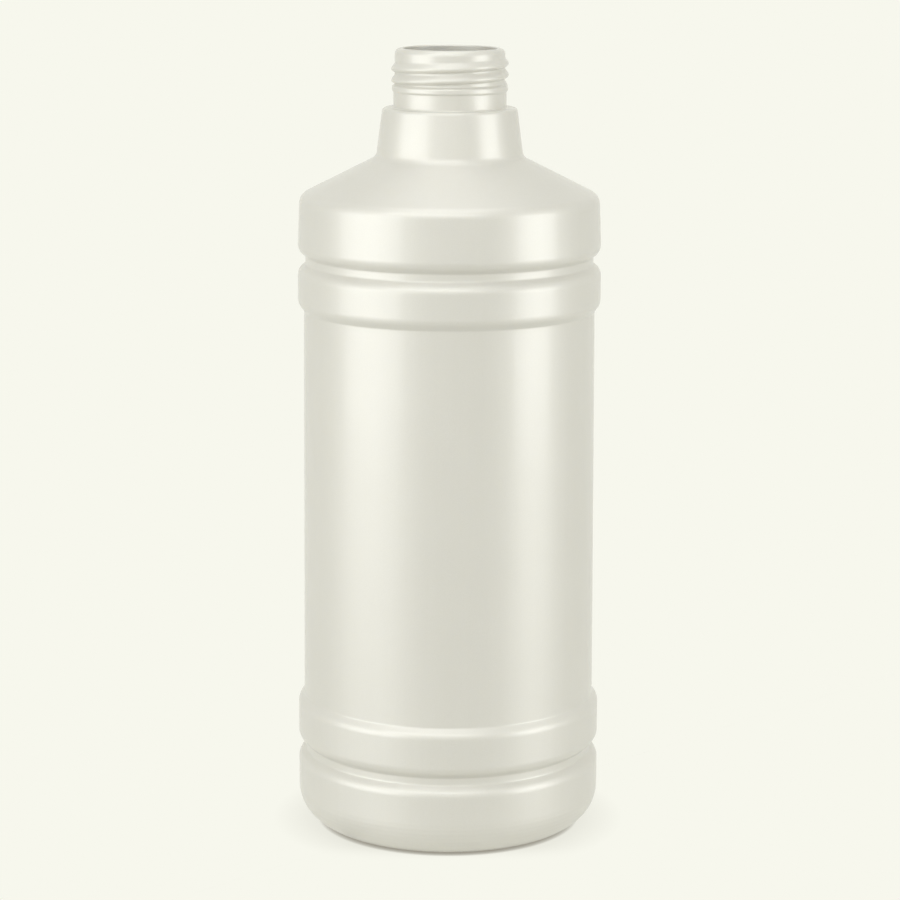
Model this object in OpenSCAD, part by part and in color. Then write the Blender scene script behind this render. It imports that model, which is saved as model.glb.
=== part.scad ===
// Round blow-moulded bottle for rubbing alcohol, open at the mouth, standing on its foot.
// The origin is the centre of the standing ring, and Z points up the bottle's axis.

/* [Body] */
// Overall height, floor to rim
height = 209.5; // [190:0.5:260]
// Outside diameter over the two upper bands
body_d = 80.5; // [76:0.5:100]
// Outside diameter over the two lower bands
foot_d = 81.5; // [76:0.5:100]
// Thickness of the blown wall
wall = 1.0; // [0.8:0.1:1.6]

/* [Foot] */
// Radius of the outer edge of the foot
foot_round = 10; // [6:0.2:11]
// Inner diameter of the standing ring
stand_d = 56; // [40:1:58]
// Rounding of the standing ring's inner edge
stand_round = 1.2; // [0.6:0.2:3]
// Height of the push-up under the base
base_rise = 4.5; // [2:0.5:7]

/* [Bands and grooves] */
// Height of the foot band, floor to groove
foot_band_h = 18.6; // [17:0.2:26]
// Height of the band below the label panel
lower_band_h = 9.8; // [8:0.2:16]
// Height of the band above the label panel
upper_band_h = 8.7; // [8:0.2:16]
// Height of the band under the shoulder
shoulder_band_h = 14.1; // [12:0.2:22]
// Depth of the two grooves
groove_depth = 2.0; // [1:0.1:2.6]
// Height of a groove's flat floor
groove_floor_h = 2.0; // [1.2:0.1:4]
// Height of a groove's sloping flank
groove_flank_h = 1.8; // [1.6:0.1:3]
// Rounding of the band edges
band_round = 3.0; // [1:0.1:3.2]
// Rounding at the bottom of the grooves
groove_round = 0.8; // [0.4:0.1:1]

/* [Label panel] */
// Depth of the label panel below the bands
label_depth = 1.55; // [0.8:0.05:2]
// Height of the slope at each end of the panel
label_flank_h = 2.0; // [1.8:0.1:3]

/* [Shoulder] */
// Outside diameter at the top of the shoulder band
shoulder_d = 79.4; // [70:0.1:100]
// Height of the shoulder cone
shoulder_h = 10.2; // [9:0.2:18]
// Rounding of the shoulder's outer edge
shoulder_round = 3.3; // [2:0.1:5]
// Diameter where the shoulder meets the collar
collar_base_d = 38.9; // [37:0.1:44]
// Rounding of the crease under the collar
crease_round = 2.4; // [1:0.1:3]
// Height of the tapered collar
collar_h = 12.9; // [8:0.1:20]
// Diameter of the collar's ledge
ledge_d = 35.5; // [33.6:0.1:36.4]
// Rounding of the ledge's outer edge
ledge_round = 0.9; // [0.4:0.1:1]
// Rounding where the ledge meets the neck
ledge_root_round = 0.4; // [0.2:0.1:0.8]

/* [Neck finish] */
// Outside diameter of the neck between the threads
neck_d = 29.0; // [27:0.1:31]
// Outside diameter of the plain neck below the bead
neck_foot_d = 29.8; // [28:0.1:31]
// Bore through the neck
bore_d = 24.8; // [22:0.1:26]
// Rounding where the bore opens into the collar
bore_flare = 1.0; // [0.4:0.1:1.4]
// Height of the neck above the ledge
neck_h = 15.5; // [13:0.1:20]
// Rounding of the rim's outer edge
rim_round = 1.5; // [0.3:0.1:1.6]
// Rounding of the rim's inner edge
mouth_round = 0.3; // [0.2:0.1:0.5]
// Outside diameter of the bead under the thread
bead_d = 30.5; // [30:0.1:32]
// Height of the bead
bead_h = 2.2; // [1.6:0.1:3]
// Rounding of the bead's crown
bead_round = 0.6; // [0.3:0.1:0.9]
// Rounding where the bead meets the neck
bead_root_round = 0.3; // [0.1:0.1:0.6]
// Distance from the rim down to the middle of the bead
bead_drop = 10.4; // [9:0.1:12]

/* [Thread] */
// Outside diameter over the thread
thread_d = 31.0; // [30:0.1:32.6]
// Rise of the thread in one turn
thread_pitch = 3.0; // [2.6:0.05:4.5]
// Width of the thread ridge at its root
thread_w = 2.2; // [1.6:0.1:2.6]
// How far the ridge's crest leans down, which leaves its lower flank the steeper one
thread_lean = 0.3; // [0:0.05:0.4]
// Turns of thread at full height
thread_turns = 1.9; // [1:0.1:2.5]
// Angle over which each end of the thread fades into the neck
thread_fade = 90; // [40:5:160]
// Distance from the rim down to the thread's middle where it starts to fade out
thread_drop = 3.6; // [3:0.1:5]
// Depth to which the ridge's edges sink below the neck's surface
thread_bite = 0.08; // [0.05:0.01:0.2]
// Direction in which the full thread ends, anticlockwise from the bottle's right side
thread_end_angle = 0; // [-180:5:180]

/* [Hidden] */

$fn = 96;
pearl = [0.86, 0.86, 0.84];

body_r = body_d / 2;
foot_r = foot_d / 2;
shoulder_r = shoulder_d / 2;
stand_r = stand_d / 2;
collar_base_r = collar_base_d / 2;
ledge_r = ledge_d / 2;
neck_foot_r = neck_foot_d / 2;
neck_r = neck_d / 2;
bore_r = bore_d / 2;
bead_r = bead_d / 2;

groove_h = groove_floor_h + 2 * groove_flank_h;
neck_base = height - neck_h;
collar_base = neck_base - collar_h;
shoulder_edge = collar_base - shoulder_h;
upper_groove_top = shoulder_edge - shoulder_band_h;
upper_groove = upper_groove_top - groove_h;
panel_top = upper_groove - upper_band_h - label_flank_h;
lower_groove_top = foot_band_h + groove_h;
panel_base = lower_groove_top + lower_band_h + label_flank_h;
bead_z = height - bead_drop;

// Corners of the outer surface as [radius, height, rounding], from the base centre to the ledge.
outer_corners = [
    [0, base_rise, 0],
    [stand_r - 2 * base_rise, base_rise, 2 * base_rise],
    [stand_r, 0, stand_round],
    [foot_r, 0, foot_round],
    [foot_r, foot_band_h, band_round],
    [foot_r - groove_depth, foot_band_h + groove_flank_h, groove_round],
    [foot_r - groove_depth, lower_groove_top - groove_flank_h, groove_round],
    [foot_r, lower_groove_top, band_round],
    [foot_r, panel_base - label_flank_h, band_round],
    [foot_r - label_depth, panel_base, groove_round],
    [body_r - label_depth, panel_top, groove_round],
    [body_r, panel_top + label_flank_h, band_round],
    [body_r, upper_groove, band_round],
    [body_r - groove_depth, upper_groove + groove_flank_h, groove_round],
    [body_r - groove_depth, upper_groove_top - groove_flank_h, groove_round],
    [body_r, upper_groove_top, band_round],
    [shoulder_r, shoulder_edge, shoulder_round],
    [collar_base_r, collar_base, crease_round],
    [ledge_r, neck_base, ledge_round]
];

// The neck's own outline, from the ledge up to the rim.
neck_corners = [
    [neck_foot_r, neck_base, ledge_root_round],
    [neck_foot_r, bead_z - bead_h / 2, bead_root_round],
    [bead_r, bead_z - bead_h / 4, bead_round],
    [bead_r, bead_z + bead_h / 4, bead_round],
    [neck_r, bead_z + bead_h / 2, bead_root_round],
    [neck_r, height, rim_round],
    [bore_r, height, mouth_round]
];

function unit(v) = v / norm(v);
function flat(c) = [c[0], c[1]];

// Where the two lines p + s*u and q + t*v cross.
function crossing(p, u, q, v) =
    let (d = u[0] * v[1] - u[1] * v[0], w = q - p, s = (w[0] * v[1] - w[1] * v[0]) / d)
    p + s * u;

// A corner list moved to the left of its own direction by a distance, with its roundings to match.
function inset(c, w) = [
    for (i = [0:len(c) - 1])
        let (
            before = unit(flat(c[max(i, 1)]) - flat(c[max(i, 1) - 1])),
            after = unit(flat(c[min(i, len(c) - 2) + 1]) - flat(c[min(i, len(c) - 2)])),
            nb = [-before[1], before[0]] * w,
            na = [-after[1], after[0]] * w,
            turn = before[0] * after[1] - before[1] * after[0],
            p = abs(turn) < 1e-6
                ? flat(c[i]) + na
                : crossing(flat(c[i]) + nb, before, flat(c[i]) + na, after)
        )
        [p[0], p[1], turn > 0 ? max(c[i][2] - w, 0) : c[i][2] + w]
];

// How much of the side from corner c to corner d the rounding at c may use.
function share(c, d) = 0.96 * norm(flat(d) - flat(c)) * c[2] / (c[2] + d[2] + 0.001);

// One corner as the points of its arc, between its neighbours a and b.
function arc(a, c, b) =
    let (
        p = flat(c),
        u = unit(flat(a) - p),
        v = unit(flat(b) - p),
        half = acos(max(-1, min(1, u * v))) / 2,
        reach = min(c[2] / tan(half), share(c, a), share(c, b)),
        r = reach * tan(half),
        centre = p + unit(u + v) * r / sin(half),
        from = p + u * reach - centre,
        start = atan2(from[1], from[0]),
        side = u[0] * v[1] - u[1] * v[0] > 0 ? -1 : 1,
        sweep = 180 - 2 * half,
        n = max(3, ceil(sweep / 10))
    )
    c[2] <= 0 || half > 89.9 ? [p] : [
        for (k = [0:n]) let (t = start + side * sweep * k / n) centre + r * [cos(t), sin(t)]
    ];

function rounded(c) = [
    for (i = [0:len(c) - 1])
        each (i == 0 || i == len(c) - 1 ? [flat(c[i])] : arc(c[i - 1], c[i], c[i + 1]))
];

// The wall's section: up the outside, over the rim, down the bore and back along the inside.
inner_corners = inset(concat(outer_corners, [neck_corners[0]]), wall);
section = rounded(concat(
    outer_corners,
    neck_corners,
    [[bore_r, neck_base - wall, bore_flare]],
    [for (i = [len(inner_corners) - 2:-1:0]) inner_corners[i]]
));

module shell() {
    rotate_extrude() polygon(section);
}

// The thread ridge's section as [radius, height] points, from its foot inside the neck wall.
// At grow 1 it stands at full height, and at grow 0 it lies just inside the wall.
function ridge(grow) =
    let (
        across = 6,
        depth = (neck_r - bore_r) / 2,
        lift = (thread_d / 2 - neck_r + thread_bite) * grow,
        edge = neck_r - thread_bite - (1 - grow) * depth / 2
    )
    concat(
        [[neck_r - depth, thread_w / 2], [neck_r - depth, -thread_w / 2]],
        [for (k = [0:across])
            let (s = 2 * k / across - 1)
            [edge + lift * (1 - s * s), (s - thread_lean * (1 - s * s)) * thread_w / 2]]
    );

// A right-hand ridge that climbs the neck, both of its ends sinking into the wall.
module thread() {
    steps = 40;
    fade = thread_fade / 360;
    total = thread_turns + 2 * fade;
    rings = ceil(total * steps);
    first_z = height - thread_drop - (thread_turns + fade) * thread_pitch;
    first_angle = thread_end_angle - 360 * (thread_turns + fade);
    n = len(ridge(1));
    points = [
        for (i = [0:rings])
            let (
                t = total * i / rings,
                grow = sin(90 * min(1, t / fade, (total - t) / fade)),
                a = first_angle + 360 * t,
                z = first_z + thread_pitch * t
            )
            for (p = ridge(grow)) [p[0] * cos(a), p[0] * sin(a), p[1] + z]
    ];
    sides = [
        for (i = [0:rings - 1], k = [0:n - 1])
            let (a = i * n + k, b = i * n + (k + 1) % n)
            each [[a, b, b + n], [a, b + n, a + n]]
    ];
    ends = [
        for (k = [1:n - 2])
            each [[0, k + 1, k], [rings * n, rings * n + k, rings * n + k + 1]]
    ];
    polyhedron(points, concat(sides, ends), convexity = 8);
}

module bottle() {
    color(pearl) union() {
        shell();
        thread();
    }
}

bottle();
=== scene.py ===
# %% [markdown]
# A pearl-white bottle for rubbing alcohol, built as a lesson in Blender's Geometry Nodes.
# The real bottle is blown from one tube of hot plastic inside a two-part mould. It is a single
# thin skin, with a rounded foot, four bands, a label panel, a shoulder, a collar and a screw neck.
# The CAD model is the fixed frame. It gives the size and the box that the finished skin stays in.

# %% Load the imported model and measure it
import math

import bpy
from mathutils import Matrix, Vector


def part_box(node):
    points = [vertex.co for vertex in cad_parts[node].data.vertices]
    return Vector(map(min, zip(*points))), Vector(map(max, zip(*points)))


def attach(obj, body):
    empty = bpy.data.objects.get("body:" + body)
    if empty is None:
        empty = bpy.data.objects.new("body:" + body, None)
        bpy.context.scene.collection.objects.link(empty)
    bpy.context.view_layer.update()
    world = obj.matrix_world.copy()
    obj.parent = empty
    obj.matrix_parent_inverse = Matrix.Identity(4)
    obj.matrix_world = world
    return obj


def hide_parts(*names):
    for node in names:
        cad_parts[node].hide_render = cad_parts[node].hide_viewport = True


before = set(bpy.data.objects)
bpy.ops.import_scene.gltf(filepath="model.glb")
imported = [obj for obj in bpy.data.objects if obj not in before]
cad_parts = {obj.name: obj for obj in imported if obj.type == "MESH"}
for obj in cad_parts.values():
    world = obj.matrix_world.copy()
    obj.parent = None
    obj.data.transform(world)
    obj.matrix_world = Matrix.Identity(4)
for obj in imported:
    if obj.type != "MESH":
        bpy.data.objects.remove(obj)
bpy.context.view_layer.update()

MM = 0.001
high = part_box("bottle")[1]
HEIGHT = high.z / MM
FOOT_R = high.x / MM
print(f"CAD bottle: {2 * FOOT_R:.1f} mm across the foot and {HEIGHT:.1f} mm tall")

# %% [markdown]
# The camera comes first, because everything is judged through it. The rim, the ledge and the
# grooves show as shallow ellipses, deeper towards the foot, and their depths fix the camera:
# a long lens, a little above the rim, that looks down about eleven degrees. The bottle leans a
# sixth of a degree in the picture, which is the camera's own roll, so the bottle stays upright.

# %% Camera
CAMERA_BACK = 0.7845
CAMERA_SIDE = 0.0003
CAMERA_HEIGHT = 0.2585
CAMERA_PITCH = math.radians(11.27)
CAMERA_ROLL = math.radians(0.17)
CAMERA_LENS = 119.05

camera = bpy.data.objects.new("camera", bpy.data.cameras.new("camera"))
bpy.context.scene.collection.objects.link(camera)
bpy.context.scene.camera = camera
camera.data.lens = CAMERA_LENS
camera.data.sensor_width = 36
camera.matrix_world = (
    Matrix.Translation((CAMERA_SIDE, -CAMERA_BACK, CAMERA_HEIGHT))
    @ Matrix.Rotation(math.pi / 2 - CAMERA_PITCH, 4, "X")
    @ Matrix.Rotation(CAMERA_ROLL, 4, "Z")
)
print(f"camera {CAMERA_BACK * 1000:.0f} mm back, looking down {math.degrees(CAMERA_PITCH):.1f} degrees")

# %% [markdown]
# A formula made of nodes soon becomes a page of wiring. This helper lets a node's output be
# used in ordinary sums: each sign adds one Math node, and a plain number goes straight into the
# node's socket. It serves the shape's tree and the material's tree alike.

# %% A helper that turns sums into nodes
class Field:
    """A node output that can be added, multiplied and compared like a number."""

    tree = None

    def __init__(self, socket):
        self.socket = socket

    @classmethod
    def math(cls, operation, *terms):
        node = cls.tree.nodes.new("ShaderNodeMath")
        node.operation = operation
        for slot, term in zip(node.inputs, terms):
            plug(term, slot)
        return cls(node.outputs[0])

    def __add__(self, other):
        return Field.math("ADD", self, other)

    def __sub__(self, other):
        return Field.math("SUBTRACT", self, other)

    def __rsub__(self, other):
        return Field.math("SUBTRACT", other, self)

    def __mul__(self, other):
        return Field.math("MULTIPLY", self, other)

    def __truediv__(self, other):
        return Field.math("DIVIDE", self, other)

    __radd__ = __add__
    __rmul__ = __mul__


def plug(term, slot):
    """Sends a field, a socket or a plain value into an input."""
    if isinstance(term, Field):
        term = term.socket
    if isinstance(term, bpy.types.NodeSocket):
        Field.tree.links.new(term, slot)
    else:
        slot.default_value = term


def node(kind, values=None, **settings):
    """Adds one node, with its settings and its inputs by name or by number."""
    made = Field.tree.nodes.new(kind)
    for name, value in settings.items():
        setattr(made, name, value)
    for key, value in (values or {}).items():
        plug(value, made.inputs[key])
    return made


def arrange(tree, across=190, down=150):
    """Lays the nodes out from left to right, so that the tree can be read in the editor."""
    depth = {n.name: 0 for n in tree.nodes}
    for _ in tree.nodes:
        for link in tree.links:
            after = depth[link.from_node.name] + 1
            depth[link.to_node.name] = max(depth[link.to_node.name], after)
    filled = {}
    for n in tree.nodes:
        column = depth[n.name]
        filled[column] = filled.get(column, 0) + 1
        n.location = (column * across, -filled[column] * down)


print("fields ready")

# %% [markdown]
# The section. A bottle mould is turned, so the bottle is one outline swept round an axis. The
# outline is a short list of corners, each with its own rounding, in millimetres from the axis
# and from the floor. A list of corners says what the maker decided, and arcs do the rest.

# %% Sizes of the bottle, in millimetres
BODY_R = FOOT_R - 0.5
WALL = 1.0
STAND_R = 28.0
STAND_ROUND = 1.2
BASE_RISE = 4.5
FOOT_ROUND = 10.0
FOOT_BAND = 18.6
GROOVE_DEPTH = 2.0
GROOVE_FLOOR = 2.0
GROOVE_FLANK = 1.8
GROOVE = GROOVE_FLOOR + 2 * GROOVE_FLANK
BAND_ROUND = 3.0
GROOVE_ROUND = 0.8
LOWER_BAND = 9.8
UPPER_BAND = 8.7
SHOULDER_BAND = 14.1
LABEL_DEPTH = 1.55
LABEL_FLANK = 2.0
SHOULDER_RISE = 10.2
SHOULDER_R = BODY_R - 0.55
SHOULDER_ROUND = 3.3
COLLAR_BASE_R = 19.45
CREASE_ROUND = 2.4
COLLAR = 12.9
LEDGE_R = 17.75
LEDGE_ROUND = 0.9
NECK = 15.5
NECK_R = 14.5
NECK_FOOT_R = 14.9
NECK_FOOT_ROUND = 0.4
BORE_R = 12.4
BEAD_R = 15.25
BEAD = 2.2
BEAD_DROP = 10.4
BEAD_ROUND = 0.6
BEAD_ROOT = 0.3
RIM_ROUND = 1.5
MOUTH_ROUND = 0.3
BORE_FOOT_ROUND = 1.0

neck_base = HEIGHT - NECK
collar_base = neck_base - COLLAR
shoulder_edge = collar_base - SHOULDER_RISE
upper_groove_top = shoulder_edge - SHOULDER_BAND
upper_groove = upper_groove_top - GROOVE
panel_top = upper_groove - UPPER_BAND - LABEL_FLANK
lower_groove_top = FOOT_BAND + GROOVE
panel_base = lower_groove_top + LOWER_BAND + LABEL_FLANK
bead_z = HEIGHT - BEAD_DROP
print(f"label panel {panel_top - panel_base:.1f} mm tall, from {panel_base:.1f} to {panel_top:.1f} mm")

# %% Corners of the outline, each as radius, height and rounding
body = [
    (0, BASE_RISE, 0),
    (STAND_R - 2 * BASE_RISE, BASE_RISE, 2 * BASE_RISE),
    (STAND_R, 0, STAND_ROUND),
    (FOOT_R, 0, FOOT_ROUND),
    (FOOT_R, FOOT_BAND, BAND_ROUND),
    (FOOT_R - GROOVE_DEPTH, FOOT_BAND + GROOVE_FLANK, GROOVE_ROUND),
    (FOOT_R - GROOVE_DEPTH, lower_groove_top - GROOVE_FLANK, GROOVE_ROUND),
    (FOOT_R, lower_groove_top, BAND_ROUND),
    (FOOT_R, panel_base - LABEL_FLANK, BAND_ROUND),
    (FOOT_R - LABEL_DEPTH, panel_base, GROOVE_ROUND),
    (BODY_R - LABEL_DEPTH, panel_top, GROOVE_ROUND),
    (BODY_R, panel_top + LABEL_FLANK, BAND_ROUND),
    (BODY_R, upper_groove, BAND_ROUND),
    (BODY_R - GROOVE_DEPTH, upper_groove + GROOVE_FLANK, GROOVE_ROUND),
    (BODY_R - GROOVE_DEPTH, upper_groove_top - GROOVE_FLANK, GROOVE_ROUND),
    (BODY_R, upper_groove_top, BAND_ROUND),
    (SHOULDER_R, shoulder_edge, SHOULDER_ROUND),
    (COLLAR_BASE_R, collar_base, CREASE_ROUND),
    (LEDGE_R, neck_base, LEDGE_ROUND),
]
neck = [
    (NECK_FOOT_R, neck_base, NECK_FOOT_ROUND),
    (NECK_FOOT_R, bead_z - BEAD / 2, BEAD_ROOT),
    (BEAD_R, bead_z - BEAD / 4, BEAD_ROUND),
    (BEAD_R, bead_z + BEAD / 4, BEAD_ROUND),
    (NECK_R, bead_z + BEAD / 2, BEAD_ROOT),
    (NECK_R, HEIGHT, RIM_ROUND),
    (BORE_R, HEIGHT, MOUTH_ROUND),
    (BORE_R, neck_base - WALL, BORE_FOOT_ROUND),
]
print(f"{len(body)} corners on the body and {len(neck)} on the neck")

# %% [markdown]
# The inside of a blown wall runs parallel to the outside, so it isn't drawn. Each corner moves
# along the bisector of its two sides, an outer rounding shrinks by the wall, and an inner one
# grows by it. The corners then become arcs, and long straight stretches get a few extra rows,
# with one close to each end that keeps the shading flat right up to the curve. Two roundings on
# one side share its length, so that they never overlap.

# %% From corners to a smooth outline
ARC_STEP = math.radians(8)
ARC_LEAST = 4
STRAIGHT = math.radians(89.9)
SIDE_USED = 0.96
NO_ROUNDING = 0.001
EDGE_ROW = 0.3


def parallel(corners, gap):
    """The same corners moved to the left of their own direction."""
    points = [Vector(c[:2]) for c in corners]
    steps = [(b - a).normalized() for a, b in zip(points, points[1:])]
    moved = []
    for i, point in enumerate(points):
        before, after = steps[max(i - 1, 0)], steps[min(i, len(steps) - 1)]
        left = Vector((-before.y - after.y, before.x + after.x)).normalized()
        turn = before.x * after.y - before.y * after.x
        place = point + left * gap / math.cos(before.angle(after, 0) / 2)
        rounding = corners[i][2]
        moved.append((*place, max(rounding - gap, 0) if turn > 0 else rounding + gap))
    return moved


def room_for(corner, other):
    """How much of the side between two corners the first one's rounding may use."""
    length = (Vector(other[:2]) - Vector(corner[:2])).length
    return SIDE_USED * length * corner[2] / (corner[2] + other[2] + NO_ROUNDING)


def arc(before, corner, after):
    """One corner as the points of its arc."""
    point, rounding = Vector(corner[:2]), corner[2]
    back, on = Vector(before[:2]) - point, Vector(after[:2]) - point
    half = back.angle(on) / 2
    if rounding <= 0 or half > STRAIGHT:
        return [point]
    reach = min(rounding / math.tan(half), room_for(corner, before), room_for(corner, after))
    radius = reach * math.tan(half)
    centre = point + (back.normalized() + on.normalized()).normalized() * radius / math.sin(half)
    start = point + back.normalized() * reach - centre
    sweep = (math.pi - 2 * half) * (1 if back.x * on.y - back.y * on.x < 0 else -1)
    count = max(ARC_LEAST, math.ceil(abs(sweep) / ARC_STEP))
    return [centre + Matrix.Rotation(sweep * k / count, 2) @ start for k in range(count + 1)]


def outline(corners):
    """A list of corners as one smooth run of points."""
    points = [Vector(corners[0][:2])]
    for before, corner, after in zip(corners, corners[1:], corners[2:]):
        points += arc(before, corner, after)
    return points + [Vector(corners[-1][:2])]


def spread(points, gap):
    """Extra points on the straight stretches, at most this gap apart."""
    filled = [points[0]]
    for a, b in zip(points, points[1:]):
        length = (b - a).length
        stops = [EDGE_ROW, length - EDGE_ROW] if length > 4 * EDGE_ROW else []
        inner = length - 2 * EDGE_ROW
        count = math.ceil(inner / gap)
        stops[1:1] = [EDGE_ROW + inner * k / count for k in range(1, count) if stops]
        filled += [a + (b - a) * s / length for s in stops] + [b]
    return filled


inside = parallel(body + neck[:1], WALL)[-2::-1]
whole = outline(body + neck + inside)
print(f"outline of {len(whole)} points")

# %% [markdown]
# Each row of the outline carries what the next step needs: which way it faces, whether the
# thread climbs over it, and whether it lies on the outer skin, where the mould left its marks.
# They are stored as named attributes on a plain line of points. Below the bore the inside is out
# of sight, and every second point of it is enough.

# %% The outline as a mesh line with named attributes
BODY_ROWS = 3.6
NECK_ROWS = 0.2
BASE_ROWS = 1.6
TOUCH = 0.01

rim = max(range(len(whole)), key=lambda i: (whole[i].y, whole[i].x))
ledge = next(i for i, p in enumerate(whole) if p.y > neck_base - TOUCH)
stand = next(i for i, p in enumerate(whole) if p.y < TOUCH)
rows = (
    spread(whole[: stand + 1], BASE_ROWS)
    + spread(whole[stand : ledge + 1], BODY_ROWS)[1:]
    + spread(whole[ledge : rim + 1], NECK_ROWS)[1:]
)
outer_rows = len(rows)
bore_foot = next(i for i in range(rim, len(whole)) if whole[i].y < neck_base)
rows += spread(whole[rim : bore_foot + 1], 2 * BODY_ROWS)[1:]
rows += whole[bore_foot + 1 : -1 : 2] + whole[-1:]


def smooth(value, start, end):
    """0 before start, 1 after end and an even curve between them."""
    t = min(max((value - start) / (end - start), 0), 1)
    return t * t * (3 - 2 * t)


def facing(i):
    """The direction square to the outline, away from the plastic."""
    run = rows[min(i + 1, len(rows) - 1)] - rows[max(i - 1, 0)]
    return Vector((run.y, 0, -run.x)).normalized()


PINCH_HALF = 21.0
PINCH_FADE = 2.0
SKIN_START = 0.2
SKIN_FULL = 2.2
THREAD_START = 0.5
marks = {"facing": [], "skin": [], "threaded": [], "pinched": []}
for i, point in enumerate(rows):
    outer = i < outer_rows
    marks["facing"].append(facing(i))
    pinched = 1 - smooth(point.x, PINCH_HALF - PINCH_FADE, PINCH_HALF)
    marks["skin"].append(smooth(point.y, SKIN_START, SKIN_FULL) * outer)
    marks["threaded"].append(float(outer and neck_base + THREAD_START < point.y < HEIGHT - RIM_ROUND))
    marks["pinched"].append(pinched * (outer and point.y <= BASE_RISE))

line = bpy.data.meshes.new("outline")
steps = [(i, i + 1) for i in range(len(rows) - 1)]
line.from_pydata([(p.x * MM, 0, p.y * MM) for p in rows], steps, [])
for name, values in marks.items():
    kind = "FLOAT_VECTOR" if name == "facing" else "FLOAT"
    stored = line.attributes.new(name, kind, "POINT")
    for item, value in zip(stored.data, values):
        if kind == "FLOAT":
            item.value = value
        else:
            item.vector = value
print(f"{len(rows)} rows, {outer_rows} of them on the outer skin")

# %% [markdown]
# The tree that turns the outline into the bottle. A lathe modifier could do that much, but the
# thread needs more: its height over the neck depends on the angle as well as on the row. So
# the tree lays a flat grid, one line of it for each row, reads the outline by row number, and
# bends the grid round the axis by a formula. Thread, parting line and base seam are terms in
# that formula, so they grow out of the wall with soft roots, as they do in a mould.

# %% Named inputs of the tree
turned = bpy.data.node_groups.new("turned_bottle", "GeometryNodeTree")


def tree_socket(name, kind, side="INPUT"):
    """One named socket on the tree's border."""
    return turned.interface.new_socket(name, in_out=side, socket_type="NodeSocket" + kind)


tree_socket("Geometry", "Geometry")
tree_socket("Geometry", "Geometry", "OUTPUT")
FLOATS = {
    "Column crowding": 0.86,
    "Neck radius": NECK_R * MM,
    "Thread height": 0.95 * MM,
    "Thread half width": 1.25 * MM,
    "Thread root": 0.2 * MM,
    "Thread lean": 0.3,
    "Thread pitch": 3.0 * MM,
    "Thread turns": 1.9,
    "Thread fade": 0.25,
    "Thread end height": (HEIGHT - 3.6) * MM,
    "Thread end turn": 0.0,
    "Parting line height": 0.03 * MM,
    "Parting line half width": 0.3 * MM,
    "Base seam height": 0.55 * MM,
    "Base seam half width": 0.6 * MM,
    "Wall wander": 0.035 * MM,
    "Wander scale": 38.0,
}
sockets = {"Columns": tree_socket("Columns", "Int")}
for name in FLOATS:
    sockets[name] = tree_socket(name, "Float")
sockets["Material"] = tree_socket("Material", "Material")
print(f"{len(sockets)} named inputs")

# %% Rows and columns of the grid
Field.tree = turned
start = node("NodeGroupInput")
size = {name: Field(start.outputs[name]) for name in FLOATS}
outline_in = start.outputs["Geometry"]
count = node("GeometryNodeAttributeDomainSize", {"Geometry": outline_in})
lines = Field(start.outputs["Columns"]) + 1
grid = node("GeometryNodeMeshGrid", {
    "Size X": 1.0, "Size Y": 1.0, "Vertices X": count.outputs["Point Count"], "Vertices Y": lines,
})
index = Field(node("GeometryNodeInputIndex").outputs[0])
row = Field.math("FLOOR", (index + 0.5) / lines)
column = index - row * lines


def read(name, kind="FLOAT"):
    """The outline's own attribute at this point's row."""
    if name == "position":
        value = node("GeometryNodeInputPosition").outputs[0]
    else:
        value = node("GeometryNodeInputNamedAttribute", {"Name": name}, data_type=kind).outputs[0]
    sample = node("GeometryNodeSampleIndex", data_type=kind, domain="POINT")
    plug(outline_in, sample.inputs["Geometry"])
    plug(value, sample.inputs["Value"])
    plug(row, sample.inputs["Index"])
    return Field(sample.outputs[0])


def split(vector):
    """The three parts of a vector as fields."""
    return [Field(s) for s in node("ShaderNodeSeparateXYZ", {0: vector}).outputs]


print("rows and columns wired")

# %% [markdown]
# The columns crowd together at the two sides where the mould halves met. A parting line is only
# a few tenths of a millimetre wide, and even columns fine enough for it would be wasted
# everywhere else. The crowding is one sine term in the angle.

# %% The angle of each column, and the row it reads
share = column / Field(start.outputs["Columns"])
crowding = size["Column crowding"]
angle = share * math.tau - crowding * Field.math("SINE", share * (2 * math.tau)) * 0.5
radius, _, height = split(read("position", "FLOAT_VECTOR"))
out, _, up = split(read("facing", "FLOAT_VECTOR"))
skin = read("skin")
threaded = read("threaded")
pinched = read("pinched")
print("angle and outline wired")

# %% [markdown]
# The thread. A right-hand ridge climbs one pitch in each turn. For a point at some height, the
# formula finds the turn of the ridge that passes nearest at that angle, and the distance to it.
# A rounded ridge is a parabola over that distance, leaned down a little, because the flank that
# holds a cap is the steeper one. It is joined to the neck by a smooth maximum, which leaves the
# small fillet that any moulded thread has, and both ends fade out.

# %% The thread as a formula
pitch = size["Thread pitch"]
fade = size["Thread fade"]
turns = size["Thread turns"]
total = turns + fade * 2
first_height = size["Thread end height"] - pitch * (turns + fade)
climbed = (height - first_height) / pitch
phase = angle / math.tau - size["Thread end turn"] + turns + fade
phase = phase - Field.math("FLOOR", phase)
turn = phase + Field.math("ROUND", climbed - phase)
reach = Field.math("MINIMUM", turn / fade, (total - turn) / fade)
grow = Field.math("SINE", Field.math("MAXIMUM", Field.math("MINIMUM", reach, 1.0), 0.0) * (math.pi / 2))
across = (climbed - turn) * pitch / size["Thread half width"]
leaned = across + size["Thread lean"] * (1.0 - across * across)
ridge = size["Thread height"] * grow * (1.0 - leaned * leaned) - (1.0 - grow) * size["Thread root"]
joined = Field.math("SMOOTH_MAX", radius, size["Neck radius"] + ridge, size["Thread root"])
swept = radius + (joined - radius) * threaded
print("thread wired")

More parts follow.
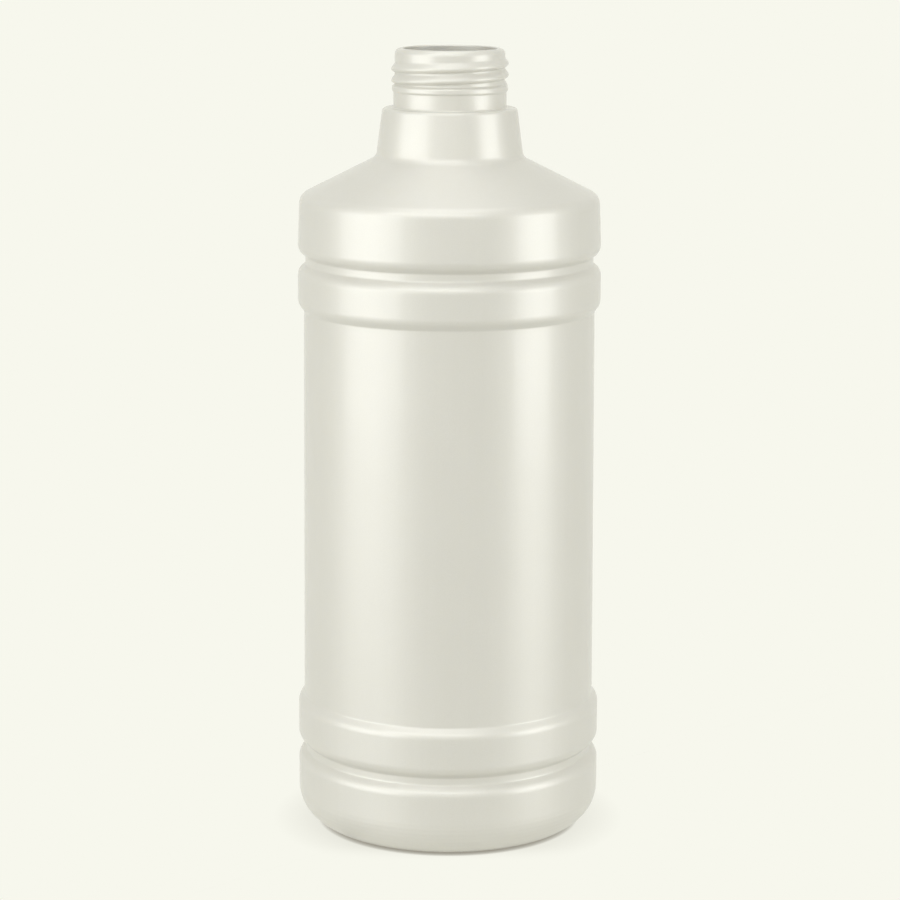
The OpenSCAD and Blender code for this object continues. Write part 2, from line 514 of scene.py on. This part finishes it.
# %% [markdown]
# The marks of the mould. A hair-fine parting line runs up both sides, and a heavier seam crosses
# the push-up of the base, where the mould pinched the tube shut. Blown walls also wander by a
# few hundredths of a millimetre, which is what makes their highlights look soft and alive.
# The skin is sunk by as much as the parting line stands up, so that nothing leaves the CAD box.

# %% Parting line, base seam and the wander of the wall
side = Field.math("ABSOLUTE", Field.math("SINE", angle)) * radius
line_half = size["Parting line half width"]
line_half = line_half + (size["Base seam half width"] - line_half) * pinched
beside = side / line_half
crest = Field.math("MAXIMUM", 1.0 - beside * beside, 0.0)
line_height = size["Parting line height"]
line_crest = (line_height + size["Base seam height"] * pinched) * crest
spot = node("ShaderNodeCombineXYZ", {
    "X": radius * Field.math("COSINE", angle),
    "Y": radius * Field.math("SINE", angle),
    "Z": height * 0.5,
})
wander = Field(node("ShaderNodeTexNoise", {
    "Vector": spot.outputs[0], "Scale": size["Wander scale"], "Detail": 1.0,
}).outputs[0])
lift = (line_crest - line_height - wander * size["Wall wander"]) * skin
print("mould marks wired")

# %% [markdown]
# The formula's result bends the grid. Its two long edges meet at one side of the bottle and its
# first and last rows meet on the axis, so merging points that touch closes the skin. The grid's
# faces look inwards once it is bent, and are flipped.

# %% Bend the grid, close it and finish the tree
MERGE_GAP = 2e-7

final_radius = Field.math("MAXIMUM", swept + out * lift, 0.0)
place = node("ShaderNodeCombineXYZ", {
    "X": final_radius * Field.math("COSINE", angle),
    "Y": final_radius * Field.math("SINE", angle),
    "Z": height + up * lift,
})
bent = node("GeometryNodeSetPosition", {"Geometry": grid.outputs["Mesh"], "Position": place.outputs[0]})
closed = node("GeometryNodeMergeByDistance", {"Geometry": bent.outputs[0], "Distance": MERGE_GAP})
outwards = node("GeometryNodeFlipFaces", {"Mesh": closed.outputs[0]})
softened = node("GeometryNodeSetShadeSmooth", {"Geometry": outwards.outputs[0], "Shade Smooth": True})
real = node("GeometryNodeRealizeInstances", {"Geometry": softened.outputs[0]})
dressed = node("GeometryNodeSetMaterial", {
    "Geometry": real.outputs[0], "Material": start.outputs["Material"],
})
end = node("NodeGroupOutput", {"Geometry": dressed.outputs[0]})
arrange(turned)
print(f"{len(turned.nodes)} nodes in the tree")

# %% [markdown]
# The plastic. Pearl bottles are polyethylene with mica flakes, which lie flat in the skin as it
# stretches. They act as countless tiny mirrors under a clear, satin surface. One shader gives
# this: part metallic, so that it holds broad soft highlights as metal does, and part plain white
# plastic, under a thin clear coat, which is the plastic above the flakes. The flakes line up
# round the axis, so the highlights stretch a little. Fine noise stands for the flakes, and noise
# stretched along the axis for the faint streaks that the drawn tube leaves. Patterns read Object
# coordinates, so they stay on the skin.

# %% Pearl plastic
FLAKE_SCALE = 5200.0
CLOUD_SCALE = 55.0
STREAK_SCALE = (500.0, 500.0, 12.0)
PEARL = (0.80, 0.785, 0.735)
PEARL_DEEP = (0.75, 0.733, 0.68)
FLAKE_SHARE = 1.1
CLOUD_SHARE = 0.4
STREAK_SHARE = 0.25
SHARE_START = 0.45
ROUGHNESS = 0.47
FLAKE_ROUGHNESS = 0.10
BUMP_STRENGTH = 0.12
BUMP_DEPTH = 0.00004
PEARL_FINISH = {
    "Metallic": 0.55,
    "IOR": 1.5,
    "Coat Weight": 0.5,
    "Coat Roughness": 0.15,
    "Anisotropic": 0.5,
    "Anisotropic Rotation": 0.25,
    "Subsurface Weight": 0.6,
    "Subsurface Radius": (1.0, 0.95, 0.8),
    "Subsurface Scale": 0.001,
}


def colour_between(factor, first, second):
    """A colour that slides from the first to the second."""
    mix = node("ShaderNodeMix", {"Factor": factor}, data_type="RGBA")
    mix.inputs["A"].default_value = (*first, 1)
    mix.inputs["B"].default_value = (*second, 1)
    return mix.outputs["Result"]


def noise(where, scale, detail):
    """Soft noise between 0 and 1."""
    made = node("ShaderNodeTexNoise", {"Vector": where, "Scale": scale, "Detail": detail})
    return Field(made.outputs[0])


def make_pearl():
    """The bottle's only material."""
    pearl = bpy.data.materials.new("pearl_plastic")
    pearl.use_nodes = True
    Field.tree = pearl.node_tree
    shader = pearl.node_tree.nodes["Principled BSDF"]
    where = node("ShaderNodeTexCoord").outputs["Object"]
    drawn = node("ShaderNodeMapping", {"Vector": where, "Scale": STREAK_SCALE})
    flakes = noise(where, FLAKE_SCALE, 2.0)
    clouds = noise(where, CLOUD_SCALE, 3.0)
    streaks = noise(drawn.outputs[0], 1.0, 2.0)
    shares = flakes * FLAKE_SHARE + clouds * CLOUD_SHARE + streaks * STREAK_SHARE
    depth = Field.math("MAXIMUM", shares - SHARE_START, 0.0)
    plug(colour_between(depth.socket, PEARL, PEARL_DEEP), shader.inputs["Base Color"])
    plug(ROUGHNESS + flakes * FLAKE_ROUGHNESS, shader.inputs["Roughness"])
    for name, value in PEARL_FINISH.items():
        shader.inputs[name].default_value = value
    plug(node("ShaderNodeTangent", direction_type="RADIAL", axis="Z").outputs[0], shader.inputs["Tangent"])
    bump = node("ShaderNodeBump", {
        "Height": flakes, "Strength": BUMP_STRENGTH, "Distance": BUMP_DEPTH,
    })
    plug(bump.outputs[0], shader.inputs["Normal"])
    arrange(pearl.node_tree)
    return pearl


pearl = make_pearl()
print(f"material {pearl.name} with {len(pearl.node_tree.nodes)} nodes")

# %% [markdown]
# The tree runs once and its result is kept as a plain mesh, because a modifier can't travel in
# an export. Inputs are set by the identifier of each socket, before the first evaluation.

# %% Turn the bottle
COLUMNS = 208

lathe = bpy.data.objects.new("lathe", line)
bpy.context.scene.collection.objects.link(lathe)
modifier = lathe.modifiers.new("turned_bottle", "NODES")
modifier.node_group = turned
modifier[sockets["Columns"].identifier] = COLUMNS
modifier[sockets["Material"].identifier] = pearl
for name, value in FLOATS.items():
    modifier[sockets[name].identifier] = value
evaluated = lathe.evaluated_get(bpy.context.evaluated_depsgraph_get())
bottle = bpy.data.objects.new("blown_bottle", bpy.data.meshes.new_from_object(evaluated))
bpy.context.scene.collection.objects.link(bottle)
bpy.data.objects.remove(lathe)
bottle.data.name = "blown_bottle"

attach(bottle, "root")
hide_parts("bottle")
bottle.data.calc_loop_triangles()
print(f"bottle skin: {len(bottle.data.vertices)} points, {len(bottle.data.loop_triangles)} triangles")

# %% [markdown]
# The studio. The pale background is what the camera and the reflections see of the world, at
# strength 1. The light that the world gives is plain white at a third of that strength, so the
# background doesn't tint the bottle, and the bottle keeps its own colour.

# %% World
BACKGROUND = (0.930, 0.930, 0.847)
ROOM_LEVEL = 0.33


def seen_rays():
    """1 for the rays that show the background, and 0 for those that only carry its light."""
    rays = node("ShaderNodeLightPath").outputs
    seen = Field.math("MAXIMUM", Field(rays["Is Camera Ray"]), Field(rays["Is Transmission Ray"]))
    return Field.math("MAXIMUM", seen, Field(rays["Is Glossy Ray"]))


world = bpy.data.worlds.new("studio")
bpy.context.scene.world = world
world.use_nodes = True
Field.tree = world.node_tree
world.node_tree.nodes.clear()
room = node("ShaderNodeBackground", {"Color": (1, 1, 1, 1), "Strength": ROOM_LEVEL})
backdrop = node("ShaderNodeBackground", {"Color": (*BACKGROUND, 1), "Strength": 1.0})
mixed = node("ShaderNodeMixShader", {0: seen_rays(), 1: room.outputs[0], 2: backdrop.outputs[0]})
node("ShaderNodeOutputWorld", {"Surface": mixed.outputs[0]})
arrange(world.node_tree)
bpy.context.scene.view_settings.view_transform = "Standard"
print("world ready")

# %% [markdown]
# The floor gives light back like any pale floor, but the camera and the reflections see it in the
# background's own colour, so that no horizon shows. The bottle's shadow on it is a painted shadow,
# mixed into that colour from how much of the sky above a point the bottle hides: a thin dark line
# right under the foot, and a faint wide painted shade beside and behind it, which fades out towards
# the front with the floor's own position.

# %% Floor
FLOOR_HALF = 12.0
FLOOR_COLOUR = (0.90, 0.90, 0.83)
SHADE_COLOUR = (0.30, 0.28, 0.23)
CONTACT_REACH = 0.0012
SHADE_REACH = 0.010
SHADE_STRENGTH = 0.24
SHADE_FRONT = -0.040
SHADE_FULL = -0.026
SHADE_SAMPLES = 16
FLOOR_ROUGHNESS = 0.15
FLOOR_IOR = 2.0


def sky_over(reach):
    """How much of the sky above a point is open, within this reach."""
    made = node("ShaderNodeAmbientOcclusion", {"Distance": reach}, samples=SHADE_SAMPLES)
    return Field(made.outputs["AO"])


floor_mesh = bpy.data.meshes.new("floor")
corners = [(x * FLOOR_HALF, y * FLOOR_HALF, 0) for x, y in ((-1, -1), (1, -1), (1, 1), (-1, 1))]
floor_mesh.from_pydata(corners, [], [(0, 1, 2, 3)])
floor = bpy.data.objects.new("floor", floor_mesh)
bpy.context.scene.collection.objects.link(floor)
floor_with_painted_shadow = bpy.data.materials.new("floor_with_painted_shadow")
floor_with_painted_shadow.use_nodes = True
Field.tree = floor_with_painted_shadow.node_tree
floor_with_painted_shadow.node_tree.nodes.clear()
# Painted shadow: the floor's colour darkens towards SHADE_COLOUR where the bottle hides the sky.
contact = sky_over(CONTACT_REACH)
open_sky = sky_over(SHADE_REACH)
place = node("ShaderNodeSeparateXYZ", {0: node("ShaderNodeTexCoord").outputs["Object"]})
# The wide painted shade is faded out towards the front by the floor's Y position.
behind = node("ShaderNodeMapRange", {
    "Value": place.outputs["Y"], "From Min": SHADE_FRONT, "From Max": SHADE_FULL, "To Max": SHADE_STRENGTH,
}, interpolation_type="SMOOTHSTEP")
open_sky = 1.0 - (1.0 - open_sky) * Field(behind.outputs[0])
shade = node("ShaderNodeMix", {"Factor": contact * open_sky}, data_type="RGBA")
shade.inputs["A"].default_value = (*SHADE_COLOUR, 1)
shade.inputs["B"].default_value = (*BACKGROUND, 1)
shown = node("ShaderNodeEmission", {"Color": shade.outputs["Result"], "Strength": 1.0})
matt = node("ShaderNodeBsdfPrincipled", {
    "Base Color": (*FLOOR_COLOUR, 1), "Roughness": FLOOR_ROUGHNESS, "IOR": FLOOR_IOR,
})
painted = node("ShaderNodeMixShader", {0: seen_rays(), 1: matt.outputs[0], 2: shown.outputs[0]})
node("ShaderNodeOutputMaterial", {"Surface": painted.outputs[0]})
arrange(floor_with_painted_shadow.node_tree)
floor_mesh.materials.append(floor_with_painted_shadow)
print("floor ready")

# %% [markdown]
# The lamps. A wide, low, soft one stands to each side, and the two draw the upright highlights of
# the label panel. One hangs overhead for the shoulder and the rim. A long, thin strip in front
# and above draws a fine line along the upper edge of each band, and lights the far wall of the
# mouth. The camera doesn't see the lamps, only what they do.

# %% Lamps
LAMP_RING = 0.60
LAMP_COLOUR = (0.955, 0.975, 1.0)
LAMPS = {
    "left_lamp": {"turn": -61, "height": 0.17, "size": (0.58, 0.34), "power": 1.06},
    "right_lamp": {"turn": 67, "height": 0.17, "size": (0.36, 0.34), "power": 0.84},
    "top_lamp": {"turn": 0, "height": 1.3, "size": (0.9, 0.9), "power": 2.4, "ring": 0.0},
    "front_strip": {"turn": -14, "height": 0.82, "size": (1.3, 0.18), "power": 2.8, "ring": 0.75},
}

aim = Vector((0, 0, HEIGHT * MM / 2))
for name, lamp in LAMPS.items():
    light = bpy.data.lights.new(name, "AREA")
    light.shape = "RECTANGLE"
    light.size, light.size_y = lamp["size"]
    light.energy = lamp["power"]
    light.color = LAMP_COLOUR
    turn_angle = math.radians(lamp["turn"])
    ring = lamp.get("ring", LAMP_RING)
    holder = bpy.data.objects.new(name, light)
    holder.location = (ring * math.sin(turn_angle), -ring * math.cos(turn_angle), lamp["height"])
    holder.visible_camera = False
    holder.rotation_euler = (aim - holder.location).to_track_quat("-Z", "Y").to_euler()
    bpy.context.scene.collection.objects.link(holder)
print(f"{len(LAMPS)} lamps")
